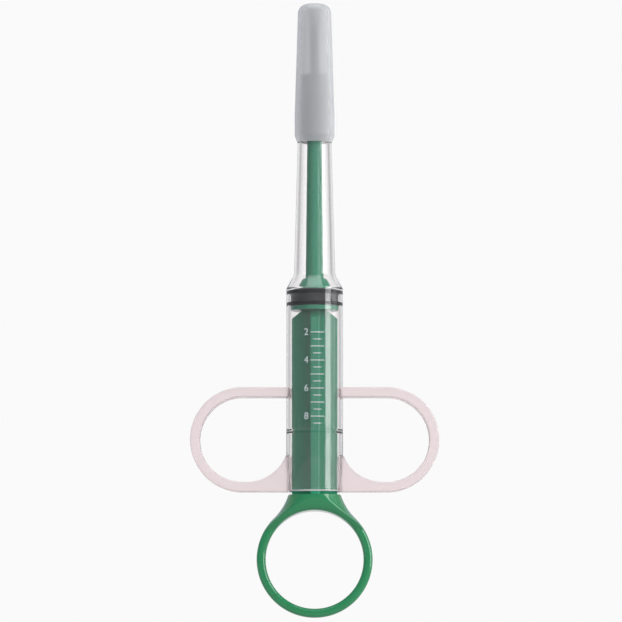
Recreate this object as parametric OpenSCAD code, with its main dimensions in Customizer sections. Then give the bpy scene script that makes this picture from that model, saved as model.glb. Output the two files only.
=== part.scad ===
// Oral syringe for giving tablets: a clear barrel with two finger loops and a long nozzle,
// a ring-handled plunger with a rubber seal and a push rod, and a soft tip over the nozzle.
// Millimetres. The barrel's axis is Z with the tip up, the loops lie along X, and the
// lowest point of the thumb ring is at the origin. The plunger is drawn fully pressed.

/* [Thumb ring] */
// Diameter of the hole for the thumb
ring_hole_d = 32.4; // [30:0.2:34]
// Radial thickness of the ring's band
ring_band = 3; // [2.6:0.1:3.4]
// Width of the band from front to back
ring_depth = 5.8; // [5:0.1:6.6]
// Rounding of the band's edges
ring_edge = 1; // [0.4:0.1:1.2]

/* [Neck] */
// Diameter of the round neck where it meets the plunger's blades
neck_d = 17.4; // [16.4:0.1:18]
// Height of the neck's top above the top of the ring
neck_rise = 2.3; // [1.8:0.1:3]
// Radius of the flare that joins the neck to the ring
flare_r = 20; // [17:0.5:26]
// How far below its top the neck has thinned to the depth of the ring
neck_blend = 11.5; // [10:0.5:13]

/* [Plunger] */
// Width across two opposite blades
blade_span = 15; // [14:0.1:15.1]
// Thickness of a blade
blade_t = 2.7; // [2:0.1:3.2]
// Length of the blades, from the neck to the backing disc
blade_len = 61.2; // [56:0.2:66]
// Height of the sloping cut at the top of each blade
blade_cut = 2.8; // [1.5:0.1:4]
// Width across two blades where they meet the backing disc
blade_top = 8.4; // [7:0.1:10]
// Diameter of the backing disc behind the seal
disc_d = 16; // [15.8:0.05:16.2]
// Thickness of the backing disc
disc_t = 1.5; // [1.2:0.1:2]
// Diameter of the hub that the seal sits on
hub_d = 9; // [8:0.1:10]
// Diameter of the cone head at the front of the seal
cone_d = 11.8; // [11:0.1:12.2]
// Diameter of the cone head at its top
cone_top_d = 8; // [7.4:0.1:8.6]
// Length of the cone head
cone_len = 3.2; // [2.6:0.1:3.6]

/* [Push rod] */
// Diameter of the push rod at its foot
rod_d = 6; // [5.4:0.1:6.4]
// Diameter of the push rod at its front end
rod_front_d = 4.6; // [4:0.1:5]
// Length of the push rod
rod_len = 63.8; // [60:0.2:66]
// Diameter of the ejector pin
pin_d = 2.5; // [2:0.1:3]
// Length of the ejector pin
pin_len = 21.6; // [18:0.2:24]

/* [Seal] */
// Length of the seal along the axis
seal_len = 5.9; // [5.6:0.1:6.2]
// Diameter of the waist between the lips
seal_waist_d = 15.7; // [15:0.1:16]
// Height of each sealing lip
lip_h = 0.9; // [0.7:0.1:1.1]
// Height of the sloping front face
seal_front_h = 0.85; // [0.6:0.05:1]
// Diameter of the front face
seal_front_d = 12.6; // [12.3:0.1:13.4]

/* [Barrel] */
// Outer diameter of the barrel
barrel_d = 18.8; // [18.6:0.1:19.2]
// Wall of the barrel
barrel_wall = 1.1; // [1:0.05:1.15]
// Gap between the pressed plunger's neck and the barrel's mouth
mouth_gap = 0.9; // [0.6:0.1:1.4]
// Height of the stop bead above the mouth
bead_rise = 20.1; // [16:0.1:26]
// How far the stop bead stands into the bore
bead_h = 0.5; // [0.35:0.05:0.55]
// Width of the stop bead at its foot
bead_w = 1.4; // [1:0.1:2]

/* [Nozzle] */
// Height of the flared shoulder
shoulder_h = 6.2; // [5.6:0.1:7]
// Outer diameter of the nozzle above the shoulder
nozzle_d = 13.6; // [13:0.1:14.2]
// Outer diameter of the nozzle where the soft tip starts
collar_d = 11.3; // [11:0.1:11.6]
// Length of the nozzle from the shoulder to the soft tip
nozzle_len = 43.3; // [40:0.2:46]
// Wall of the nozzle
nozzle_wall = 1.4; // [1.2:0.1:1.6]
// Length of the nozzle inside the soft tip
spigot_len = 22.6; // [20:0.2:24]
// Outer diameter of the nozzle at its end, inside the soft tip
spigot_end_d = 10.6; // [10.2:0.1:10.9]

/* [Finger loops] */
// Distance from the axis to the outermost point of a loop
loop_reach = 41.25; // [39:0.25:44]
// Height of a loop's outline
loop_h = 34.6; // [33:0.2:36]
// Thickness of the band round the outside of a loop
loop_band = 3.2; // [2.8:0.1:3.8]
// Width of the band from front to back
loop_depth = 9; // [7:0.2:10]
// Distance between the centres of the two round sides of the hole
loop_slot = 1.4; // [1:0.1:3]

/* [Soft tip] */
// Length of the soft tip
tip_len = 46.7; // [45.1:0.2:48.9]
// Outer diameter at the soft tip's rear
tip_d = 13.3; // [13:0.1:13.6]
// Outer diameter near the soft tip's front
tip_front_d = 11; // [10.6:0.1:11.6]
// Height of the chamfer at the soft tip's rear rim
tip_chamfer = 2.3; // [1.5:0.1:3]
// Rounding of the soft tip's front edge
tip_round = 3; // [2:0.1:3]
// Diameter of the tablet pocket in the front of the soft tip
pocket_d = 4.8; // [4.4:0.1:4.8]
// Depth of the tablet pocket
pocket_len = 6.6; // [4:0.1:6.6]
// Diameter of the passage behind the pocket, where the ejector pin runs
passage_d = 3.8; // [3.4:0.1:4]

/* [Fits] */
// Radial clearance between the seal's lips and the barrel's bore
lip_play = 0.02; // [0.01:0.01:0.05]
// Clearance between the seal and the hub, disc and cone that hold it
hub_play = 0.03; // [0.02:0.01:0.05]
// Radial clearance between the soft tip and the nozzle
tip_play = 0.02; // [0.01:0.01:0.05]

/* [Hidden] */
$fn = 96;
arc_steps = 6;          // straight steps in each rounded corner of an outline
over = 1;               // how far a cutter runs past what it cuts
fine_edge = 0.3;        // rounding of the small moulded edges
soft_edge = 0.4;        // rounding of the edges that a piece is pushed over
clear_plastic = "gainsboro";
frosted_plastic = "mistyrose";
green_plastic = "seagreen";
dark_green = "mediumseagreen";

// Thumb ring and neck
ring_in_r = ring_hole_d / 2;
ring_out_r = ring_in_r + ring_band;
ring_z = ring_out_r;
neck_r = neck_d / 2;
neck_z = 2 * ring_out_r + neck_rise;
blend_z = neck_z - neck_blend;
// The flare's arc touches the ring's outer circle and ends at the neck's top edge. In the triangle
// of the ring's centre, the arc's centre and the top edge, all three sides are known.
edge_lift = neck_z - ring_z;
edge_reach = norm([neck_r, edge_lift]);
flare_reach = ring_out_r + flare_r;
flare_lean = atan2(neck_r, edge_lift)
    + acos((flare_reach ^ 2 + edge_reach ^ 2 - flare_r ^ 2) / (2 * flare_reach * edge_reach));
flare_x = flare_reach * sin(flare_lean);
flare_z = ring_z + flare_reach * cos(flare_lean);
flare_top = atan2(neck_z - flare_z, neck_r - flare_x) + 360;
flare_foot = 270 - flare_lean - 5;      // it stops 5 degrees short, where it stands just clear of the ring
// The neck's front and back run down beside the band, a little inside the ring's outer circle.
lobe_r = ring_out_r - ring_edge / 2;
lobe_z = flare_z + flare_r * sin(flare_foot) - ring_edge;

// Plunger
disc_z = neck_z + blade_len;
hub_z = disc_z + disc_t;
seal_z = hub_z + hub_play;
cone_z = seal_z + seal_len + hub_play;
rod_z = cone_z + cone_len;
pin_z = rod_z + rod_len;

// Barrel and nozzle
barrel_r = barrel_d / 2;
bore_r = barrel_r - barrel_wall;
mouth_z = neck_z + mouth_gap;
bead_z = mouth_z + bead_rise;
lip_r = bore_r - lip_play;
shoulder_z = seal_z + seal_len - seal_front_h + barrel_wall / 4;
nozzle_z = shoulder_z + shoulder_h;
collar_z = nozzle_z + nozzle_len;
spigot_z = collar_z + spigot_len;

// Finger loops
loop_r = loop_h / 2;
loop_hole_r = loop_r - loop_band;
loop_x = loop_reach - loop_r;
loop_z = mouth_z + loop_r;

// Soft tip
tip_z = collar_z;
tip_top = tip_z + tip_len;

// A step of the arc that rounds corner b of the path a-b-c with radius r.
function bend(a, b, c, r) =
    let (
        u = (a - b) / norm(a - b),
        v = (c - b) / norm(c - b),
        half = acos(u * v) / 2,
        centre = b + (u + v) / norm(u + v) * r / sin(half),
        start = b + u * r / tan(half) - centre,
        finish = b + v * r / tan(half) - centre,
        from = atan2(start.y, start.x),
        turn = (atan2(finish.y, finish.x) - from + 540) % 360 - 180
    )
    [
        for (i = [0:arc_steps])
            let (a = from + turn * i / arc_steps)
            centre + r * [cos(a), sin(a)]
    ];

// A closed outline whose corners [x, y, r] are rounded by r, or left sharp where r is 0.
function rounded(corners) =
    let (n = len(corners), flat = [for (c = corners) [c.x, c.y]])
    [
        for (i = [0:n - 1])
            let (before = flat[(i + n - 1) % n], after = flat[(i + 1) % n])
            each corners[i].z == 0 ? [flat[i]] : bend(before, flat[i], after, corners[i].z)
    ];

// Outer radius of the nozzle inside the soft tip, at height z.
function spigot_r(z) = (collar_d + (spigot_end_d - collar_d) * (z - collar_z) / spigot_len) / 2;

module turned(corners) {
    rotate_extrude() polygon(rounded(corners));
}

// A 2D drawing in X and Z, thickened from front to back about the XZ plane.
module plate(depth) {
    rotate([90, 0, 0]) linear_extrude(depth, center = true) children();
}

module barrel_tube() {
    slope = bead_w / 2 - bead_h / 2;
    color(clear_plastic) turned([
        [barrel_r, mouth_z, fine_edge],
        [barrel_r, shoulder_z, 0],
        [bore_r, shoulder_z, 0],
        [bore_r, bead_z + bead_w / 2, 0],
        [bore_r - bead_h, bead_z + bead_w / 2 - slope, 0.2],
        [bore_r - bead_h, bead_z - bead_w / 2 + slope, 0.2],
        [bore_r, bead_z - bead_w / 2, 0],
        [bore_r, mouth_z, soft_edge]
    ]);
}

module nozzle_tube() {
    nozzle_r = nozzle_d / 2;
    rim = 0.15 * shoulder_h;        // straight wall at each end of the shoulder
    sweep = 3;                      // rounding where the shoulder runs into the nozzle
    color(clear_plastic) turned([
        [barrel_r, shoulder_z, 0],
        [barrel_r, shoulder_z + rim, 1.2],
        [nozzle_r + 0.1, nozzle_z - rim, sweep],
        [collar_d / 2, collar_z, 0],
        [spigot_end_d / 2, spigot_z, soft_edge],
        [spigot_end_d / 2 - nozzle_wall, spigot_z, soft_edge],
        [nozzle_r - nozzle_wall, nozzle_z, sweep],
        [bore_r, shoulder_z + 0.1 * shoulder_h, 1],
        [bore_r, shoulder_z, 0]
    ]);
}

// The loop on the +X side. Its hole is round, but square where its top meets the barrel.
module loop_outline() {
    difference() {
        union() {
            translate([loop_x, loop_z]) circle(loop_r);
            translate([0, mouth_z]) square([loop_x, loop_h]);
        }
        for (x = [loop_x - loop_slot, loop_x]) translate([x, loop_z]) circle(loop_hole_r);
        translate([loop_x - loop_slot, loop_z - loop_hole_r]) square([loop_slot, 2 * loop_hole_r]);
        translate([0, loop_z]) square([loop_x, loop_hole_r]);
    }
}

module finger_loop() {
    color(frosted_plastic) difference() {
        plate(loop_depth) loop_outline();
        translate([0, 0, mouth_z - over]) {
            cylinder(r = barrel_r, h = loop_h + 2 * over);
            // The loop stops at the barrel's centre plane, so that nothing stays on the far side.
            translate([-barrel_d, -barrel_r, 0]) cube([barrel_d, barrel_d, loop_h + 2 * over]);
        }
    }
}

module finger_loop_right() {
    finger_loop();
}

module finger_loop_left() {
    mirror([1, 0, 0]) finger_loop();
}

module soft_tip() {
    taper_z = tip_z + 0.2 * tip_len;
    color("silver") turned([
        [spigot_r(tip_z) + tip_play, tip_z, 0],
        [tip_d / 2, tip_z + tip_chamfer, 0.5],
        [tip_d / 2, taper_z, 8],
        [tip_front_d / 2, tip_top, tip_round],
        [pocket_d / 2, tip_top, 0],
        [pocket_d / 2, tip_top - pocket_len, 0],
        [passage_d / 2, tip_top - pocket_len, 0],
        [passage_d / 2, spigot_z + tip_play, 0],
        [spigot_r(spigot_z) + tip_play, spigot_z + tip_play, 0]
    ]);
}

module piston_seal() {
    hole_r = hub_d / 2 + hub_play;
    waist_r = seal_waist_d / 2;
    front_z = seal_z + seal_len;
    top_lip_z = front_z - seal_front_h;
    lip_slope = 0.35;
    color("dimgray") turned([
        [hole_r, seal_z, 0],
        [lip_r - 0.3, seal_z, 0],
        [lip_r, seal_z + 0.15, 0],
        [lip_r, seal_z + lip_h, 0],
        [waist_r, seal_z + lip_h + lip_slope, fine_edge],
        [waist_r, top_lip_z - lip_h - lip_slope, fine_edge],
        [lip_r, top_lip_z - lip_h, 0],
        [lip_r, top_lip_z, 0.2],
        [seal_front_d / 2, front_z, 0],
        [hole_r, front_z, 0]
    ]);
}

// The ring's band, turned about the Y axis through the ring's centre.
module thumb_ring() {
    color(green_plastic) translate([0, 0, ring_z]) rotate([90, 0, 0]) turned([
        [ring_in_r, -ring_depth / 2, ring_edge],
        [ring_out_r, -ring_depth / 2, ring_edge],
        [ring_out_r, ring_depth / 2, ring_edge],
        [ring_in_r, ring_depth / 2, ring_edge]
    ]);
}

// Half outline of the neck from the front: the flare, then a circle just inside the ring's own.
function neck_front() = concat(
    [[0, neck_z]],
    [for (i = [0:arc_steps])
        let (a = flare_top + (flare_foot - flare_top) * i / arc_steps)
        [flare_x + flare_r * cos(a), flare_z + flare_r * sin(a)]],
    [for (i = [0:arc_steps])
        let (z = lobe_z + (blend_z - lobe_z) * i / arc_steps)
        [sqrt(lobe_r ^ 2 - (z - ring_z) ^ 2), z]],
    [[0, blend_z]]
);

// Outline of the neck from the side: both faces thin along a quarter wave to the ring's depth.
function neck_side() = [
    for (side = [-1, 1], i = [0:2 * arc_steps])
        let (t = (1 + side) / 2 - side * i / (2 * arc_steps))
        [side * (ring_depth / 2 + (neck_r - ring_depth / 2) * sin(90 * t)), blend_z + neck_blend * t]
];

module ring_neck() {
    color(green_plastic) difference() {
        intersection() {
            rotate_extrude() polygon(neck_front());
            rotate([90, 0, 90]) linear_extrude(3 * ring_out_r, center = true) polygon(neck_side());
        }
        translate([0, 0, ring_z]) rotate([90, 0, 0]) {
            cylinder(r = ring_in_r, h = 2 * neck_d, center = true);
            // Room for the ring, whose band the neck stands on
            cylinder(r = ring_out_r, h = ring_depth, center = true);
        }
    }
}

// Outline of two opposite blades, with both top corners cut off.
module blade_pair() {
    half = blade_span / 2;
    plate(blade_t) polygon([
        [-half, neck_z],
        [half, neck_z],
        [half, disc_z - blade_cut],
        [blade_top / 2, disc_z],
        [-blade_top / 2, disc_z],
        [-half, disc_z - blade_cut]
    ]);
}

module plunger_blades() {
    color(green_plastic) for (turn = [0, 90]) rotate(turn) blade_pair();
}

module backing_disc() {
    color(dark_green) translate([0, 0, disc_z]) cylinder(d = disc_d, h = disc_t);
}

module seal_cone() {
    color(dark_green) turned([
        [0, hub_z, 0],
        [hub_d / 2, hub_z, 0],
        [hub_d / 2, cone_z, 0],
        [cone_d / 2, cone_z, 0],
        [cone_top_d / 2, rod_z, 0.8],
        [0, rod_z, 0]
    ]);
}

module push_rod() {
    front_len = 1;
    color(green_plastic) turned([
        [0, rod_z, 0],
        [rod_d / 2, rod_z, 0],
        [rod_front_d / 2, pin_z - front_len, 0],
        [pin_d / 2, pin_z, 0],
        [0, pin_z, 0]
    ]);
}

module ejector_pin() {
    color(green_plastic) turned([
        [0, pin_z, 0],
        [pin_d / 2, pin_z, 0],
        [pin_d / 2, pin_z + pin_len, soft_edge],
        [0, pin_z + pin_len, 0]
    ]);
}

barrel_tube();
nozzle_tube();
finger_loop_left();
finger_loop_right();
soft_tip();
piston_seal();
thumb_ring();
ring_neck();
plunger_blades();
backing_disc();
seal_cone();
push_rod();
ejector_pin();
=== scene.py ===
import logging
import math
from dataclasses import dataclass, field
from enum import Enum
from typing import ClassVar, Iterable, Sequence

import bmesh
import bpy
from bpy.types import Collection, Material, Node, NodeSocket, NodeTree, Object
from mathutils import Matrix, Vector


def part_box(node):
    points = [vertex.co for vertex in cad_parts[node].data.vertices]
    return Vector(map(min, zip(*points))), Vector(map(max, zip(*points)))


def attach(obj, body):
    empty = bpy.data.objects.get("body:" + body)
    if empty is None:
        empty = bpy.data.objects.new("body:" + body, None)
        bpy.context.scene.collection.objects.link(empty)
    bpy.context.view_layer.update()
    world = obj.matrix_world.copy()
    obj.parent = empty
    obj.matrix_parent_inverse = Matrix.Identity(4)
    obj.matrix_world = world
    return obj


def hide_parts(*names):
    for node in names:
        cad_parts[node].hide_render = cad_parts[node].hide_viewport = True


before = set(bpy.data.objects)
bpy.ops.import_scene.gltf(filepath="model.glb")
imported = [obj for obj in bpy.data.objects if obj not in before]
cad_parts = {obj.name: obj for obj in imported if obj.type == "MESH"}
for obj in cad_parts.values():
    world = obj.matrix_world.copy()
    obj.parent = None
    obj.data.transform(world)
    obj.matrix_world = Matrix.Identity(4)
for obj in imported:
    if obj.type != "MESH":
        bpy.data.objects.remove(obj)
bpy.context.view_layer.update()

MM = 0.001                      # metres in a millimetre
HAIR = 0.03                     # mm by which touching pieces of one moulding run into each other
AIR = 0.01                      # mm of air that keeps a clear wall's inner reflections
ROUND_STEPS = 8                 # straight steps in a rounded corner
TURNED_SEGMENTS = 160           # facets round a turned piece
FINE_SEGMENTS = 192             # facets round the barrel and the seal, which touch
COAT_ROUGHNESS = 0.05           # roughness of the gloss that a polished mould leaves
MARK_ROUGHNESS = 0.25           # roughness that a full handling mark adds

Point = tuple[float, float, float]
Flat = tuple[float, float]
Colour = tuple[float, float, float]
MeshData = tuple[list[Point], list[tuple[int, ...]]]

log = logging.getLogger("syringe")


# ---------------------------------------------------------------- measures and meshes


@dataclass(frozen=True)
class Span:
    """Where a CAD node lies, in millimetres.

    Attributes:
        bottom: Lowest height of the node.
        top: Greatest height of the node.
        reach: Greatest distance along +X.
        depth: Greatest distance along +Y.
    """

    bottom: float
    top: float
    reach: float
    depth: float

    @classmethod
    def of(cls, node: str) -> "Span":
        """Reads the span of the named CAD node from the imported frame."""
        low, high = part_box(node)
        return cls(low.z / MM, high.z / MM, high.x / MM, high.y / MM)


def arc_at(before: Flat, corner: Flat, after: Flat, radius: float) -> list[Flat]:
    """Rounds one corner of a path.

    Args:
        before: Point before the corner.
        corner: The corner itself.
        after: Point after the corner.
        radius: Radius of the rounding.

    Returns:
        Points of the arc, in path order.
    """
    tip = Vector(corner)
    u = (Vector(before) - tip).normalized()
    v = (Vector(after) - tip).normalized()
    half = math.acos(max(-1.0, min(1.0, u.dot(v)))) / 2
    centre = tip + (u + v).normalized() * radius / math.sin(half)
    start = tip + u * radius / math.tan(half) - centre
    finish = tip + v * radius / math.tan(half) - centre
    turn = finish.to_2d().angle_signed(start.to_2d())
    angle = math.atan2(start.y, start.x)
    return [
        (centre.x + radius * math.cos(angle + turn * i / ROUND_STEPS),
         centre.y + radius * math.sin(angle + turn * i / ROUND_STEPS))
        for i in range(ROUND_STEPS + 1)
    ]


def rounded(corners: Sequence[Point]) -> list[Flat]:
    """Turns corners with radii into a closed outline.

    Args:
        corners: Corners as (x, y, radius); a radius of 0 stays sharp.

    Returns:
        Points of the closed outline.
    """
    flat = [(x, y) for x, y, _ in corners]
    outline: list[Flat] = []
    for i, (x, y, radius) in enumerate(corners):
        if radius <= 0:
            outline.append((x, y))
        else:
            outline.extend(arc_at(flat[i - 1], (x, y), flat[(i + 1) % len(flat)], radius))
    return outline


def turned(outline: Sequence[Flat], segments: int = TURNED_SEGMENTS) -> MeshData:
    """Turns a closed outline about the Z axis.

    Args:
        outline: Points (radius, height) of the closed outline.
        segments: Facets round the axis.

    Returns:
        Points and faces of the closed surface.
    """
    points: list[Point] = []
    rings: list[list[int]] = []
    for radius, height in outline:
        count = 1 if radius < 1e-6 else segments
        rings.append(list(range(len(points), len(points) + count)))
        points.extend(
            (radius * math.cos(math.tau * i / segments), radius * math.sin(math.tau * i / segments), height)
            for i in range(count)
        )
    faces: list[tuple[int, ...]] = []
    for first, second in zip(rings, rings[1:] + rings[:1]):
        if len(first) == len(second) == 1:
            continue
        for i in range(segments):
            j = (i + 1) % segments
            loop = (first[i % len(first)], first[j % len(first)], second[j % len(second)], second[i % len(second)])
            faces.append(tuple(dict.fromkeys(loop)))
    return points, faces


def swept(sections: Sequence[Sequence[Point]], closed: bool) -> MeshData:
    """Joins equal sections into a skin.

    Args:
        sections: Sections with the same number of points, each a closed loop.
        closed: True where the last section joins the first one.

    Returns:
        Points and faces of the skin, without end caps.
    """
    count = len(sections[0])
    points = [p for section in sections for p in section]
    last = len(sections) if closed else len(sections) - 1
    faces: list[tuple[int, ...]] = []
    for s in range(last):
        here, there = s * count, (s + 1) % len(sections) * count
        for i in range(count):
            j = (i + 1) % count
            faces.append((here + i, here + j, there + j, there + i))
    return points, faces


def make_piece(name: str, data: MeshData, finish: Material, sharp_deg: float = 38.0) -> Object:
    """Makes a piece from points in millimetres, at its place in the frame.

    Args:
        name: Name of the piece.
        data: Points in millimetres, and faces.
        finish: Material of the piece.
        sharp_deg: Edges that turn by more than this stay sharp.

    Returns:
        The new object, at the origin.
    """
    points, faces = data
    mesh = bpy.data.meshes.new(name)
    mesh.from_pydata([(x * MM, y * MM, z * MM) for x, y, z in points], [], faces)
    shape = bmesh.new()
    shape.from_mesh(mesh)
    bmesh.ops.remove_doubles(shape, verts=shape.verts, dist=2e-6)
    bmesh.ops.recalc_face_normals(shape, faces=shape.faces)
    shape.to_mesh(mesh)
    shape.free()
    mesh.shade_smooth()
    mesh.set_sharp_from_angle(angle=math.radians(sharp_deg))
    mesh.materials.append(finish)
    piece = bpy.data.objects.new(name, mesh)
    bpy.context.scene.collection.objects.link(piece)
    return piece


def blend_low(a: float, b: float, width: float) -> float:
    """Gives the lower of two heights, with a soft change where they are less than a width apart."""
    h = max(width - abs(a - b), 0.0) / width
    return min(a, b) - h * h * width / 4


def fillet_drop(inset: float, radius: float) -> float:
    """How far a rounded edge lies below the face.

    Args:
        inset: Distance in from the edge.
        radius: Radius of the rounding.

    Returns:
        The drop at that distance.
    """
    if inset >= radius:
        return 0.0
    return radius - math.sqrt(max(radius**2 - (radius - inset) ** 2, 0.0))


# ---------------------------------------------------------------- finishes


class Slot(Enum):
    """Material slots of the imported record."""

    CLEAR = "clear_plastic"
    FROSTED = "frosted_plastic"
    SILICONE = "grey_silicone"
    RUBBER = "black_rubber"
    GREEN = "green_plastic"


def feed(tree: NodeTree, socket: NodeSocket, value: object) -> None:
    """Links a socket to an input, or sets the input to a plain value.

    Args:
        tree: Tree that holds the input.
        socket: The input.
        value: Another node's output, a number or a colour.
    """
    if isinstance(value, NodeSocket):
        tree.links.new(value, socket)
    else:
        socket.default_value = value


def add_node(tree: NodeTree, kind: str, group: NodeTree | None = None, **values: object) -> Node:
    """Adds a node and feeds its inputs.

    Args:
        tree: Tree to add to.
        kind: Blender's type name of the node.
        group: The node group that it places, where it is a group node.
        **values: Sockets or plain values by input name, with underscores for spaces.

    Returns:
        The new node.
    """
    node = tree.nodes.new(kind)
    if group:
        node.node_tree = group
    for name, value in values.items():
        feed(tree, node.inputs[name.replace("_", " ")], value)
    return node


def add_math(tree: NodeTree, what: str, *values: object) -> NodeSocket:
    """Adds a Math node.

    Args:
        tree: Tree to add to.
        what: Operation of the node.
        *values: Its inputs in order, sockets or numbers.

    Returns:
        The node's output.
    """
    node = tree.nodes.new("ShaderNodeMath")
    node.operation = what
    for socket, value in zip(node.inputs, values):
        feed(tree, socket, value)
    return node.outputs[0]


def add_mix(tree: NodeTree, factor: object, a: object, b: object, kind: str = "FLOAT") -> NodeSocket:
    """Adds a Mix node.

    Args:
        tree: Tree to add to.
        factor: Share of the second value.
        a: First value.
        b: Second value.
        kind: Blender's name for the type of the values.

    Returns:
        The node's output.
    """
    node = tree.nodes.new("ShaderNodeMix")
    node.data_type = kind
    for name, value in (("Factor", factor), ("A", a), ("B", b)):
        feed(tree, node.inputs[name], value)
    return node.outputs["Result"]


def add_ramp(tree: NodeTree, value: object, start: Flat, end: Flat) -> NodeSocket:
    """Adds a Map Range node.

    Args:
        tree: Tree to add to.
        value: What is mapped.
        start: Value where the ramp starts, and what it gives there.
        end: Value where it ends, and what it gives there.

    Returns:
        The node's output.
    """
    node = add_node(
        tree, "ShaderNodeMapRange", Value=value, From_Min=start[0], To_Min=start[1], From_Max=end[0], To_Max=end[1],
    )
    return node.outputs["Result"]


def add_straight_rays(tree: NodeTree) -> NodeSocket:
    """Gives 1 for rays that the camera sends out, also through clear pieces, and 0 for others."""
    path = tree.nodes.new("ShaderNodeLightPath").outputs
    return add_math(tree, "MAXIMUM", path["Is Camera Ray"], path["Is Transmission Ray"])


def new_group(name: str, inputs: dict[str, float], outputs: Iterable[str]) -> NodeTree:
    """Starts a shader node group with float sockets.

    Args:
        name: Name of the group.
        inputs: Names and default values of its inputs.
        outputs: Names of its outputs.

    Returns:
        The group, with its input and output nodes.
    """
    group = bpy.data.node_groups.new(name, "ShaderNodeTree")
    for label, value in inputs.items():
        group.interface.new_socket(label, in_out="INPUT", socket_type="NodeSocketFloat").default_value = value
    for label in outputs:
        group.interface.new_socket(label, in_out="OUTPUT", socket_type="NodeSocketFloat")
    group.nodes.new("NodeGroupInput")
    group.nodes.new("NodeGroupOutput")
    return group


class SurfaceEffects:
    """Effects that several finishes share, each a shader node group that is built once."""

    def __init__(self) -> None:
        """Builds the groups."""
        self.skin = self._moulded_skin()
        self.marks = self._handling_marks()

    def _moulded_skin(self) -> NodeTree:
        """Slow flow ripples along the moulding, with a fine grain on top.

        Returns:
            The group, which puts out Height, Roughness and Tint.
        """
        group = new_group(
            "moulded_skin",
            {"Grain Per Metre": 4000.0, "Flow Per Metre": 90.0, "Flow Share": 0.5, "Roughness": 0.3, "Spread": 0.1},
            ("Height", "Roughness", "Tint"),
        )
        take, give = group.nodes["Group Input"].outputs, group.nodes["Group Output"].inputs
        place = group.nodes.new("ShaderNodeTexCoord").outputs["Object"]
        along = add_node(group, "ShaderNodeMapping", Vector=place, Scale=(1.0, 1.0, 0.3)).outputs["Vector"]
        flow = add_node(
            group, "ShaderNodeTexNoise", Vector=along, Scale=take["Flow Per Metre"], Detail=3.0, Roughness=0.5,
        ).outputs["Fac"]
        grain = add_node(
            group, "ShaderNodeTexNoise", Vector=place, Scale=take["Grain Per Metre"], Detail=2.0, Roughness=0.6,
        ).outputs["Fac"]
        slow = add_math(group, "MULTIPLY", flow, take["Flow Share"])
        quick = add_math(group, "MULTIPLY", grain, add_math(group, "SUBTRACT", 1.0, take["Flow Share"]))
        change = add_math(group, "MULTIPLY", add_math(group, "SUBTRACT", flow, 0.5), take["Spread"])
        feed(group, give["Height"], add_math(group, "ADD", slow, quick))
        feed(group, give["Roughness"], add_math(group, "ADD", change, take["Roughness"]))
        feed(group, give["Tint"], flow)
        return group

    def _handling_marks(self) -> NodeTree:
        """Sparse hair scratches and faint smudges from handling.

        Returns:
            The group, which puts out Mask, 0 clean to 1 marked.
        """
        group = new_group("handling_marks", {"Scratches Per Metre": 260.0, "Amount": 0.3}, ("Mask",))
        take, give = group.nodes["Group Input"].outputs, group.nodes["Group Output"].inputs
        place = group.nodes.new("ShaderNodeTexCoord").outputs["Object"]
        turn = add_node(
            group, "ShaderNodeMapping", Vector=place, Rotation=(0.35, 0.5, 0.2), Scale=(1.0, 1.0, 0.06),
        )
        hairs = add_node(
            group, "ShaderNodeTexNoise", Vector=turn.outputs["Vector"], Scale=take["Scratches Per Metre"], Detail=4.0,
            Roughness=0.7,
        )
        sparse = add_ramp(group, hairs.outputs["Fac"], (0.62, 0.0), (0.72, 1.0))
        feed(group, give["Mask"], add_math(group, "MULTIPLY", sparse, take["Amount"]))
        return group


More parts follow.
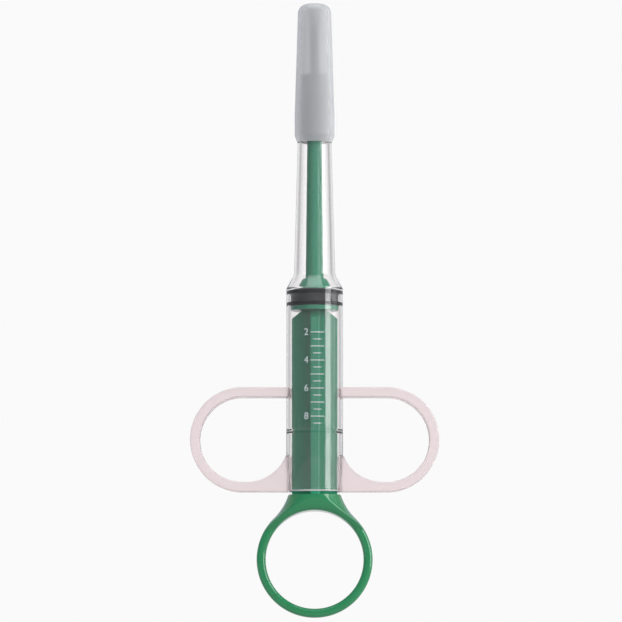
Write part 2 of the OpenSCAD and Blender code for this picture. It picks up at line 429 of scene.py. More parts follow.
@dataclass(frozen=True)
class Finish:
    """A finish of moulded plastic, rubber or print; two finishes below also carry painted light.

    Attributes:
        name: Name of the material.
        colour: Linear base colour.
        shade: Linear colour that the base drifts towards in the flow pattern.
        roughness: Mean roughness.
        spread: Change of roughness over the surface.
        grain_per_metre: Fineness of the grain.
        flow_per_metre: Fineness of the flow ripples.
        flow_share: Part of the bump that is flow, from 0 to 1.
        bump: Height of the bump, in metres.
        transmission: Share of light that passes through, for clear finishes.
        ior: Index of refraction.
        scatter: Weight of the scattering under the surface.
        scatter_depth: Depth of that scattering, in metres.
        gloss: Strength of the mirror-like part, where 0.5 is usual for plastic.
        coat: Weight of the gloss that a polished mould leaves.
        marks: Amount of handling marks.
        lets_light_in: True where light falls through to what is inside.
    """

    name: str
    colour: Colour
    shade: Colour
    roughness: float
    spread: float = 0.08
    grain_per_metre: float = 3500.0
    flow_per_metre: float = 90.0
    flow_share: float = 0.6
    bump: float = 2e-5
    transmission: float = 0.0
    ior: float = 1.49
    scatter: float = 0.0
    scatter_depth: float = 0.0008
    gloss: float = 0.5
    coat: float = 0.0
    marks: float = 0.25
    lets_light_in: bool = False

    def build(self, effects: SurfaceEffects) -> Material:
        """Builds the material.

        Args:
            effects: The shared node groups.

        Returns:
            The finished material.
        """
        material = bpy.data.materials.new(self.name)
        material.use_nodes = True
        tree = material.node_tree
        tree.nodes.clear()
        skin = add_node(
            tree, "ShaderNodeGroup", effects.skin, Grain_Per_Metre=self.grain_per_metre, Spread=self.spread,
            Flow_Per_Metre=self.flow_per_metre, Flow_Share=self.flow_share, Roughness=self.roughness,
        ).outputs
        marks = add_node(tree, "ShaderNodeGroup", effects.marks, Amount=self.marks).outputs["Mask"]
        bump = add_node(tree, "ShaderNodeBump", Strength=1.0, Distance=self.bump, Height=skin["Height"])
        shader = add_node(
            tree, "ShaderNodeBsdfPrincipled", IOR=self.ior, Transmission_Weight=self.transmission, Metallic=0.0,
            Subsurface_Weight=self.scatter, Subsurface_Scale=self.scatter_depth, Subsurface_Radius=(1.0, 1.0, 1.0),
            Specular_IOR_Level=self.gloss, Coat_Weight=self.coat, Coat_Roughness=COAT_ROUGHNESS,
            Base_Color=add_mix(tree, skin["Tint"], (*self.colour, 1.0), (*self.shade, 1.0), "RGBA"),
            Roughness=add_math(tree, "MULTIPLY_ADD", marks, MARK_ROUGHNESS, skin["Roughness"]),
            Normal=bump.outputs["Normal"],
        )
        surface = shader.outputs["BSDF"]
        if self.lets_light_in:
            surface = self._open_to_light(tree, surface)
        add_node(tree, "ShaderNodeOutputMaterial", Surface=surface)
        return material

    def _open_to_light(self, tree: NodeTree, surface: NodeSocket) -> NodeSocket:
        """Lets light rays pass, so that what lies inside is lit as in the real thing.

        Args:
            tree: The material's tree.
            surface: The shader's output.

        Returns:
            The output of the mixed shader.
        """
        path = tree.nodes.new("ShaderNodeLightPath")
        clear = add_node(tree, "ShaderNodeBsdfTransparent", Color=(*self.colour, 1.0))
        mix = tree.nodes.new("ShaderNodeMixShader")
        for socket, value in zip(mix.inputs, (path.outputs["Is Shadow Ray"], surface, clear.outputs["BSDF"])):
            tree.links.new(value, socket)
        return mix.outputs["Shader"]


CLEAR_PLASTIC = Finish(
    "clear_plastic", (0.985, 0.972, 0.975), (0.975, 0.965, 0.972), 0.025, spread=0.02, grain_per_metre=1500.0,
    flow_per_metre=60.0, flow_share=0.95, bump=2e-6, transmission=0.992, marks=0.05, lets_light_in=True,
)
FROSTED_PLASTIC = Finish(
    "frosted_plastic", (0.90, 0.785, 0.785), (0.88, 0.775, 0.79), 0.34, spread=0.06, grain_per_metre=2500.0,
    flow_per_metre=70.0, flow_share=0.9, bump=4e-6, transmission=0.85, marks=0.2, lets_light_in=True,
)
GREY_SILICONE = Finish(
    "grey_silicone", (0.615, 0.61, 0.617), (0.58, 0.58, 0.59), 0.62, spread=0.1, grain_per_metre=2500.0,
    flow_per_metre=120.0, flow_share=0.4, bump=1.5e-5, transmission=0.60, ior=1.35, gloss=0.12, marks=0.3,
    lets_light_in=True,
)
# Near-white matt paint on the lead-in edge inside the barrel's mouth: a painted highlight for the bright line of
# light that the clear wall carries down to its rim.
MOUTH_HIGHLIGHT_PAINT = Finish(
    "mouth_painted_highlight", (0.93, 0.95, 0.94), (0.90, 0.92, 0.92), 0.6, spread=0.08, bump=6e-6, transmission=0.15,
    marks=0.1, lets_light_in=True,
)
BLACK_RUBBER = Finish(
    "black_rubber", (0.007, 0.007, 0.008), (0.011, 0.011, 0.013), 0.5, spread=0.15, grain_per_metre=5000.0,
    flow_share=0.3, bump=1.2e-5, ior=1.4, marks=0.15,
)
GREEN_PLASTIC = Finish(
    "green_plastic", (0.014, 0.196, 0.070), (0.019, 0.218, 0.083), 0.20, spread=0.08, flow_share=0.92, bump=2e-6,
    scatter=0.1, gloss=0.2, coat=0.8, marks=0.2,
)
# A brighter, bluer copy of the handle's green for the shaft, disc, cone, rod and pin, which are one moulding with the
# handle: painted light for how they look lit inside the clear barrel.
GREEN_LIT_COPY = Finish(
    "green_painted_lit_copy", (0.018, 0.355, 0.185), (0.024, 0.380, 0.208), 0.24, spread=0.08, flow_share=0.92, bump=2e-6,
    scatter=0.15, marks=0.15,
)
PALE_INK = Finish(
    "pale_ink", (0.52, 0.62, 0.60), (0.42, 0.52, 0.50), 0.55, spread=0.1, grain_per_metre=9000.0, bump=6e-6,
    marks=0.1,
)


class Paintbox:
    """The built materials, by finish."""

    def __init__(self) -> None:
        """Builds the shared effects; a material is built when it is first asked for."""
        self.effects = SurfaceEffects()
        self._made: dict[str, Material] = {}

    def get(self, finish: Finish) -> Material:
        """Gives the material of a finish.

        Args:
            finish: The finish.

        Returns:
            Its material.
        """
        if finish.name not in self._made:
            self._made[finish.name] = finish.build(self.effects)
        return self._made[finish.name]


# ---------------------------------------------------------------- the syringe's pieces


@dataclass
class Assembly:
    """Common work of every sub-assembly.

    Attributes:
        paints: The built materials.
    """

    paints: Paintbox
    body: ClassVar[str] = "barrel"

    def fit(self, piece: Object, slot: Slot, *nodes: str) -> Object:
        """Puts a piece on its CAD body, and hides the CAD nodes that it replaces.

        Args:
            piece: The finished piece.
            slot: Material slot that its finish comes from; not used.
            *nodes: CAD nodes that it replaces.

        Returns:
            The same piece.
        """
        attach(piece, self.body)
        if nodes:
            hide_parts(*nodes)
        log.info("%s: %d faces, on %s", piece.name, len(piece.data.polygons), self.body)
        return piece


@dataclass
class Barrel(Assembly):
    """The clear tube with its stop bead, shoulder and nozzle, in one wall.

    Attributes:
        wall: Wall of the barrel.
        lead_in: Width and height of the edge inside the mouth, whose pale matt paint is a painted highlight.
        bead_rise: Height of the stop bead above the mouth.
        bead_h: How far the bead stands into the bore.
        bead_w: Width of the bead at its foot.
        shoulder_start: Height of straight wall below the shoulder's slope.
        shoulder_r: Outer radius where the slope meets the nozzle.
        shoulder_h: Height of the whole shoulder.
        nozzle_start: Height from that meeting to the shoulder's top.
        collar_r: Outer radius of the nozzle where the soft tip starts.
        end_r: Outer radius at the nozzle's end.
        nozzle_wall: Wall of the nozzle.
    """

    wall: float = 1.1
    lead_in: float = 0.6
    bead_rise: float = 20.1
    bead_h: float = 0.25
    bead_w: float = 1.5
    shoulder_start: float = 0.55
    shoulder_r: float = 6.85
    shoulder_h: float = 6.2
    nozzle_start: float = 0.95
    collar_r: float = 5.65
    end_r: float = 5.3
    nozzle_wall: float = 1.4

    def outline(self) -> list[Flat]:
        """Gives the outline of the wall, out to the nozzle's end and back inside."""
        tube, nozzle, tip = Span.of("barrel_tube"), Span.of("nozzle_tube"), Span.of("soft_tip")
        outer, bore = tube.reach, tube.reach - self.wall
        mouth, start, end = tube.bottom, nozzle.bottom, nozzle.top
        foot, bend = start + self.shoulder_start, start + self.shoulder_h - self.nozzle_start
        bead = mouth + self.bead_rise
        slope = (self.bead_w - self.bead_h) / 2
        lean = math.atan2(outer - self.shoulder_r, bend - foot)
        drop = self.nozzle_wall * math.tan(lean / 2)
        return rounded([
            (outer, mouth, 0.35),
            (outer, foot, 1.4),
            (self.shoulder_r, bend, 5.0),
            (self.collar_r, tip.bottom, 0),
            (self.end_r, end, 0.4),
            (self.end_r - self.nozzle_wall, end, 0.4),
            (self.shoulder_r - self.nozzle_wall, bend - drop, 6.4),
            (bore, foot - drop, 0.5),
            (bore, bead + self.bead_w / 2, 0.6),
            (bore - self.bead_h, bead + self.bead_w / 2 - slope, 0.4),
            (bore - self.bead_h, bead - self.bead_w / 2 + slope, 0.4),
            (bore, bead - self.bead_w / 2, 0.6),
            (bore, mouth, 0.1),
        ])

    def rim(self) -> list[Flat]:
        """Gives the section of the pale edge inside the mouth, painted as a highlight."""
        tube = Span.of("barrel_tube")
        bore, mouth = tube.reach - self.wall, tube.bottom
        return [(bore + AIR, mouth + self.lead_in), (bore + AIR, mouth + AIR), (bore + self.lead_in, mouth + AIR)]

    def build(self) -> None:
        """Builds the clear wall, and the pale edge in its mouth that paints the bright line of light the wall carries
        down.
        """
        wall = make_piece("clear_barrel", turned(self.outline(), FINE_SEGMENTS), self.paints.get(CLEAR_PLASTIC))
        self.fit(wall, Slot.CLEAR, "barrel_tube", "nozzle_tube")
        # The lead-in edge is real; its pale matt paint is a painted highlight.
        rim = make_piece("mouth_highlight_edge", turned(self.rim(), FINE_SEGMENTS), self.paints.get(MOUTH_HIGHLIGHT_PAINT))
        self.fit(rim, Slot.FROSTED)


class Side(Enum):
    """The two sides of the barrel, and the sign of X there."""

    LEFT = -1
    RIGHT = 1


@dataclass
class FingerLoops(Assembly):
    """The two finger loops, each a band that leaves the barrel and comes back to it.

    Attributes:
        band: Thickness of the band.
        slot: Distance between the centres of the hole's two round sides.
        edge: Rounding of the band's edges.
        edge_steps: Steps in that rounding.
        flat_steps: Steps across the band's face.
        run_steps: Steps along the straight top.
        bend_steps: Steps round the outer bend.
        foot_steps: Steps along the widening foot.
    """

    band: float = 3.2
    slot: float = 1.4
    edge: float = 0.55
    edge_steps: int = 5
    flat_steps: int = 10
    run_steps: int = 9
    bend_steps: int = 64
    foot_steps: int = 32

    def stations(self, barrel_r: float) -> list[tuple[Flat, Flat]]:
        """Gives pairs of points across the band, from its top end round to its bottom end.

        Args:
            barrel_r: Outer radius of the barrel.

        Returns:
            Pairs (outer point, inner point) in X and Z.
        """
        span = Span.of("finger_loop_right")
        radius = (span.top - span.bottom) / 2
        hole = radius - self.band
        cx, cz = span.reach - radius, span.bottom + radius
        pairs: list[tuple[Flat, Flat]] = []
        for i in range(self.run_steps):
            x = barrel_r + (cx - barrel_r) * i / self.run_steps
            pairs.append(((x, cz + radius), (x, cz + hole)))
        for i in range(self.bend_steps + 1):
            a = math.pi / 2 - math.pi * i / self.bend_steps
            c, s = math.cos(a), math.sin(a)
            pairs.append(((cx + radius * c, cz + radius * s), (cx + hole * c, cz + hole * s)))
        inner_x = cx - self.slot
        sweep = math.pi / 2 - math.acos((inner_x - barrel_r) / hole)
        for i in range(1, self.foot_steps + 1):
            share = i / self.foot_steps
            a = -math.pi / 2 - sweep * share
            inner = (inner_x + hole * math.cos(a), cz + hole * math.sin(a))
            pairs.append(((inner_x + (barrel_r - inner_x) * share, cz - radius), inner))
        return pairs

    def across(self, half: float) -> list[tuple[float, float]]:
        """Gives the band's profile from front to back.

        Args:
            half: Half the band's width.

        Returns:
            Pairs (y, inset from the face).
        """
        bend = [
            (-half + self.edge * (1 - math.cos(math.pi / 2 * i / self.edge_steps)),
             self.edge * (1 - math.sin(math.pi / 2 * i / self.edge_steps)))
            for i in range(self.edge_steps + 1)
        ]
        run = half - self.edge
        flat = [(-run + 2 * run * i / self.flat_steps, 0.0) for i in range(1, self.flat_steps)]
        return bend + flat + [(-y, inset) for y, inset in reversed(bend)]

    def band_mesh(self, side: Side) -> MeshData:
        """Builds one loop.

        Args:
            side: Side of the barrel that it stands on.

        Returns:
            Points and faces of the closed band.
        """
        barrel_r = Span.of("barrel_tube").reach
        profile = self.across(Span.of("finger_loop_right").depth)
        pairs = self.stations(barrel_r)
        sections: list[list[Point]] = []
        for n, (outer, inner) in enumerate(pairs):
            o, i = Vector(outer), Vector(inner)
            way = (i - o).normalized()
            spots = [(o + way * inset, y) for y, inset in profile]
            spots += [(i - way * inset, y) for y, inset in reversed(profile)]
            ends = n in (0, len(pairs) - 1)
            sections.append([
                (side.value * (math.sqrt((barrel_r + AIR) ** 2 - y * y) if ends else p.x), y, p.y)
                for p, y in spots
            ])
        points, faces = swept(sections, closed=False)
        count, half = len(sections[0]), len(profile)
        for start in (0, (len(sections) - 1) * count):
            for k in range(half - 1):
                faces.append((start + k, start + k + 1, start + count - 2 - k, start + count - 1 - k))
        return points, faces

    def build(self) -> None:
        """Builds both loops; where they meet the barrel they stay clear, as one moulding."""
        for side in Side:
            node = f"finger_loop_{side.name.lower()}"
            loop = make_piece(f"frosted_{node}", self.band_mesh(side), self.paints.get(FROSTED_PLASTIC), 45.0)
            loop.data.materials.append(self.paints.get(CLEAR_PLASTIC))
            foot = (Span.of("barrel_tube").reach + 2 * AIR) * MM
            for face in loop.data.polygons:
                if all(math.hypot(*loop.data.vertices[v].co.xy) < foot for v in face.vertices):
                    face.material_index = 1
            self.fit(loop, Slot.FROSTED, node)


@dataclass
class SoftTip(Assembly):
    """The silicone sleeve over the end of the nozzle.

    Attributes:
        rim_r: Outer radius at the rear rim.
        chamfer: Height of the rear chamfer.
        straight: Height of the straight part above the chamfer.
        front_r: Outer radius near the front.
        front_round: Rounding of the front edge.
        pocket_r: Radius of the tablet pocket.
        pocket_h: Depth of the pocket.
        passage_r: Radius of the passage behind it.
        play: Clearance to the nozzle.
    """

    body: ClassVar[str] = "tip"
    rim_r: float = 5.75
    chamfer: float = 2.3
    straight: float = 7.0
    front_r: float = 5.5
    front_round: float = 3.0
    pocket_r: float = 2.4
    pocket_h: float = 6.6
    passage_r: float = 1.9
    play: float = 0.02

    def build(self, barrel: Barrel) -> None:
        """Builds the sleeve.

        Args:
            barrel: The barrel, whose nozzle it fits.
        """
        tip, nozzle = Span.of("soft_tip"), Span.of("nozzle_tube")
        shelf = nozzle.top + self.play
        outline = rounded([
            (barrel.collar_r + self.play, tip.bottom, 0),
            (self.rim_r, tip.bottom, 0),
            (tip.reach, tip.bottom + self.chamfer, 0.6),
            (tip.reach, tip.bottom + self.chamfer + self.straight, 8.0),
            (self.front_r, tip.top, self.front_round),
            (self.pocket_r, tip.top, 0.35),
            (self.pocket_r, tip.top - self.pocket_h, 0.2),
            (self.passage_r, tip.top - self.pocket_h, 0.2),
            (self.passage_r, shelf, 0.1),
            (barrel.end_r + self.play, shelf, 0),
        ])
        sleeve = make_piece("silicone_tip", turned(outline), self.paints.get(GREY_SILICONE))
        self.fit(sleeve, Slot.SILICONE, "soft_tip")


@dataclass
class PistonSeal(Assembly):
    """The black rubber ring with two lips.

    Attributes:
        squeeze: How far the lips press into the wall, so that rubber and wall touch without air.
        waist_r: Radius between the lips.
        lip_h: Height of a lip.
        slope_h: Height from a lip to the waist.
        front_h: Height of the sloping front.
        front_r: Radius of the front's flat.
        hole_r: Radius of the hole.
    """

    body: ClassVar[str] = "seal"
    squeeze: float = 0.06
    waist_r: float = 7.9
    lip_h: float = 1.15
    slope_h: float = 0.35
    front_h: float = 0.85
    front_r: float = 6.3
    hole_r: float = 4.53

    def build(self) -> None:
        """Builds the ring."""
        span = Span.of("piston_seal")
        lip = span.reach + self.squeeze
        low, top = span.bottom, span.top - self.front_h
        outline = rounded([
            (self.hole_r, low, 0),
            (lip - 0.15, low, 0.05),
            (lip, low + 0.12, 0.05),
            (lip, low + self.lip_h, 0.12),
            (self.waist_r, low + self.lip_h + self.slope_h, 0.35),
            (self.waist_r, top - self.lip_h - self.slope_h, 0.35),
            (lip, top - self.lip_h, 0.12),
            (lip, top, 0.15),
            (self.front_r, span.top, 0.2),
            (self.hole_r, span.top, 0),
        ])
        ring = make_piece("rubber_seal", turned(outline, FINE_SEGMENTS), self.paints.get(BLACK_RUBBER))
        self.fit(ring, Slot.RUBBER, "piston_seal")


@dataclass
class ThumbHandle(Assembly):
    """The thumb ring and the neck that grows out of it, in one skin.

    Attributes:
        band: Radial thickness of the ring.
        edge: Rounding of the ring's edges.
        neck_r: Radius of the neck at its top.
        flare_r: Radius of the flare between ring and neck.
        blend_h: Height over which the neck thins to the ring's depth.
        crease: Width of the soft crease between the neck's front and its flare.
        turns: Sections round the ring.
        steps: Steps from the hole to the outside.
        face_steps: Steps across the faces that join front and back.
        fade: Angle over which the outer edge thins from the ring to the flare.
        centre_z: Height of the ring's centre.
        hole_r: Radius of the hole.
        outer_r: Radius of the ring.
        depth: Half the ring's width from front to back.
        top_z: Height of the neck's top.
        far: Distance from the ring's centre to the centre of the flare's arc.
        neck_lean: Direction of the neck's top corner.
        lean: Direction in which the flare leaves the ring.
        flare_x: Place of the arc's centre along X.
        flare_z: Height of the arc's centre.
    """

    body: ClassVar[str] = "plunger"
    band: float = 3.0
    edge: float = 1.3
    neck_r: float = 8.7
    flare_r: float = 20.0
    blend_h: float = 11.5
    crease: float = 0.6
    turns: int = 400
    steps: int = 34
    face_steps: int = 8
    fade: float = 0.2
    centre_z: float = field(init=False)
    hole_r: float = field(init=False)
    outer_r: float = field(init=False)
    depth: float = field(init=False)
    top_z: float = field(init=False)
    far: float = field(init=False)
    neck_lean: float = field(init=False)
    lean: float = field(init=False)
    flare_x: float = field(init=False)
    flare_z: float = field(init=False)

    def __post_init__(self) -> None:
        """Takes the ring's place from the CAD nodes, and finds where the flare leaves the ring."""
        ring, neck = Span.of("thumb_ring"), Span.of("ring_neck")
        self.outer_r, self.depth, self.top_z = ring.reach, ring.depth, neck.top
        self.hole_r = self.outer_r - self.band
        self.centre_z = ring.bottom + self.outer_r
        lift = self.top_z - self.centre_z
        reach = math.hypot(self.neck_r, lift)
        self.far = self.outer_r + self.flare_r
        bend = math.acos((self.far**2 + reach**2 - self.flare_r**2) / (2 * self.far * reach))
        self.neck_lean = math.atan2(self.neck_r, lift)
        self.lean = self.neck_lean + bend
        self.flare_x = self.far * math.sin(self.lean)
        self.flare_z = self.centre_z + self.far * math.cos(self.lean)

    def outside(self, angle: float) -> float:
        """Gives the distance from the ring's centre to the outline.

        Args:
            angle: Direction, 0 at the top and positive towards +X.

        Returns:
            The distance.
        """
        a = abs(angle)
        if a <= self.neck_lean:
            return (self.top_z - self.centre_z) / math.cos(a)
        if a >= self.lean:
            return self.outer_r
        along = self.far * math.cos(self.lean - a)
        return along - math.sqrt(along**2 - self.far**2 + self.flare_r**2)

    def half_width(self, z: float) -> float:
        """Gives half the outline's width at a height.

        Args:
            z: The height.

        Returns:
            Half the width.
        """
        leave_z = self.centre_z + self.outer_r * math.cos(self.lean)
        if z >= leave_z:
            return self.flare_x - math.sqrt(max(self.flare_r**2 - (z - self.flare_z) ** 2, 0.0))
        return math.sqrt(max(self.outer_r**2 - (z - self.centre_z) ** 2, 0.0))

    def front(self, angle: float, distance: float) -> float:
        """Gives the half depth at a point of the handle.

        Args:
            angle: Direction from the ring's centre.
            distance: Distance from the ring's centre.

        Returns:
            Half the depth there.
        """
        x = distance * math.sin(angle)
        z = self.centre_z + distance * math.cos(angle)
        t = max(0.0, min(1.0, (z - self.top_z + self.blend_h) / self.blend_h))
        slab = self.depth + (self.neck_r - self.depth) * math.sin(math.pi / 2 * t)
        wide = math.sqrt(max(self.half_width(z) ** 2 - x * x, 0.0))
        neck = blend_low(slab, wide, self.crease) if t > 0 else 0.0
        ring = self.depth - fillet_drop(max(self.outer_r - distance, 0.0), self.edge)
        ring = ring if distance <= self.outer_r else 0.0
        inner = fillet_drop(distance - self.hole_r, self.edge)
        return max(neck, ring) - inner

    def section(self, angle: float) -> list[Point]:
        """Gives the section of the handle in one direction.

        Args:
            angle: Direction from the ring's centre.

        Returns:
            The closed section.
        """
        out = self.outside(angle)
        fade = min(1.0, max(0.0, (abs(angle) - self.lean + self.fade) / self.fade))
        least = HAIR + (self.depth - self.edge - HAIR) * fade
        profile: list[Flat] = []
        for i in range(self.steps + 1):
            u = i / self.steps
            share = u * u * (3 - 2 * u)
            distance = self.hole_r + (out - self.hole_r) * share
            profile.append((distance, max(self.front(angle, distance), least)))
        lip, last = profile[0][1], profile[-1][1]
        outer_face = [(out, last - 2 * last * i / self.face_steps) for i in range(1, self.face_steps)]
        inner_face = [(self.hole_r, -lip + 2 * lip * i / self.face_steps) for i in range(1, self.face_steps)]
        loop = [(r, -y) for r, y in profile] + [(r, -y) for r, y in outer_face]
        loop += [(r, y) for r, y in reversed(profile)] + [(r, -y) for r, y in inner_face]
        s, c = math.sin(angle), math.cos(angle)
        return [(r * s, y, self.centre_z + r * c) for r, y in loop]

    def build(self) -> None:
        """Builds the handle."""
        angles = [-math.pi + math.tau * i / self.turns for i in range(self.turns)]
        skin = swept([self.section(a) for a in angles], closed=True)
        handle = make_piece("thumb_handle", skin, self.paints.get(GREEN_PLASTIC), 60.0)
        self.fit(handle, Slot.GREEN, "thumb_ring", "ring_neck")


@dataclass
class PlungerShaft(Assembly):
    """The cross-shaped shaft, the disc, the cone head, the push rod and the ejector pin.

    Attributes:
        blade_t: Thickness of a blade.
        cut_h: Height of the sloping cut at the top of each blade.
        cut_soft: Half the height over which the cut begins softly.
        cut_ease: How far the blade's edge draws in over that height.
        cut_steps: Steps of the soft beginning.
        top_reach: Half width across two blades at the top.
        root: Rounding where the blades meet.
        tip_round: Rounding of the blades' edges.
        hub_r: Radius of the hub under the seal.
        cone_r: Radius of the cone head.
        cone_top_r: Radius at the top of the cone head.
        rod_r: Radius of the push rod at its foot.
        rod_front_r: Radius of the push rod at its front.
        pin_r: Radius of the ejector pin.
    """

    body: ClassVar[str] = "plunger"
    blade_t: float = 2.7
    cut_h: float = 2.8
    cut_soft: float = 0.25
    cut_ease: float = 0.12
    cut_steps: int = 6
    top_reach: float = 4.2
    root: float = 0.5
    tip_round: float = 0.3
    hub_r: float = 4.5
    cone_r: float = 5.9
    cone_top_r: float = 4.0
    rod_r: float = 3.0
    rod_front_r: float = 2.3
    pin_r: float = 1.25

    def cross(self, reach: float) -> list[Flat]:
        """Gives the outline of the cross.

        Args:
            reach: Distance from the axis to a blade's edge.

        Returns:
            The closed outline.
        """
        h = self.blade_t / 2
        corners: list[Point] = []
        for turn in range(4):
            c, s = round(math.cos(math.pi / 2 * turn)), round(math.sin(math.pi / 2 * turn))
            for x, y, radius in ((reach, -h, self.tip_round), (reach, h, self.tip_round), (h, h, self.root)):
                corners.append((x * c - y * s, x * s + y * c, radius))
        return rounded(corners)

    def blades(self) -> MeshData:
        """Builds the shaft's four blades.

        Returns:
            Points and faces of the closed shaft.
        """
        span = Span.of("plunger_blades")
        cut = span.top - self.cut_h
        levels = [(span.bottom - HAIR, span.reach), (cut - self.cut_soft, span.reach)]
        for i in range(1, self.cut_steps):
            share = i / self.cut_steps
            levels.append((cut + self.cut_soft * (2 * share - 1), span.reach - self.cut_ease * share**2))
        levels.append((span.top, self.top_reach))
        sections = [[(x, y, z) for x, y in self.cross(reach)] for z, reach in levels]
        points, faces = swept(sections, closed=False)
        count = len(sections[0])
        faces.append(tuple(range(count)))
        faces.append(tuple(range(len(points) - count, len(points))))
        return points, faces

    def build(self) -> None:
        """Builds the shaft's pieces."""
        # These pieces take the lit copy of the handle's green: painted light, not a second plastic.
        core = self.paints.get(GREEN_LIT_COPY)
        shaft = make_piece("cross_shaft", self.blades(), core, 30.0)
        self.fit(shaft, Slot.GREEN, "plunger_blades")
        disc, head = Span.of("backing_disc"), Span.of("seal_cone")
        rod, pin = Span.of("push_rod"), Span.of("ejector_pin")
        cone_foot = Span.of("piston_seal").top + HAIR
        turned_parts: dict[str, tuple[list[Point], str]] = {
            "seal_disc": ([
                (0, disc.bottom, 0), (disc.reach, disc.bottom, 0.25), (disc.reach, disc.top, 0.25), (0, disc.top, 0),
            ], "backing_disc"),
            "cone_head": ([
                (0, head.bottom, 0), (self.hub_r, head.bottom, 0), (self.hub_r, cone_foot, 0),
                (self.cone_r, cone_foot, 0.2), (self.cone_top_r, head.top, 0.9), (0, head.top, 0),
            ], "seal_cone"),
            "push_rod_turned": ([
                (0, rod.bottom - HAIR, 0), (self.rod_r, rod.bottom - HAIR, 0), (self.rod_front_r, rod.top - 1.0, 0.4),
                (self.pin_r, rod.top, 0.3), (0, rod.top, 0),
            ], "push_rod"),
            "ejector_pin_turned": ([
                (0, pin.bottom - HAIR, 0), (self.pin_r, pin.bottom - HAIR, 0), (self.pin_r, pin.top, 0.5),
                (0, pin.top, 0),
            ], "ejector_pin"),
        }
        for name, (corners, node) in turned_parts.items():
            piece = make_piece(name, turned(rounded(corners)), core)
            self.fit(piece, Slot.GREEN, node)


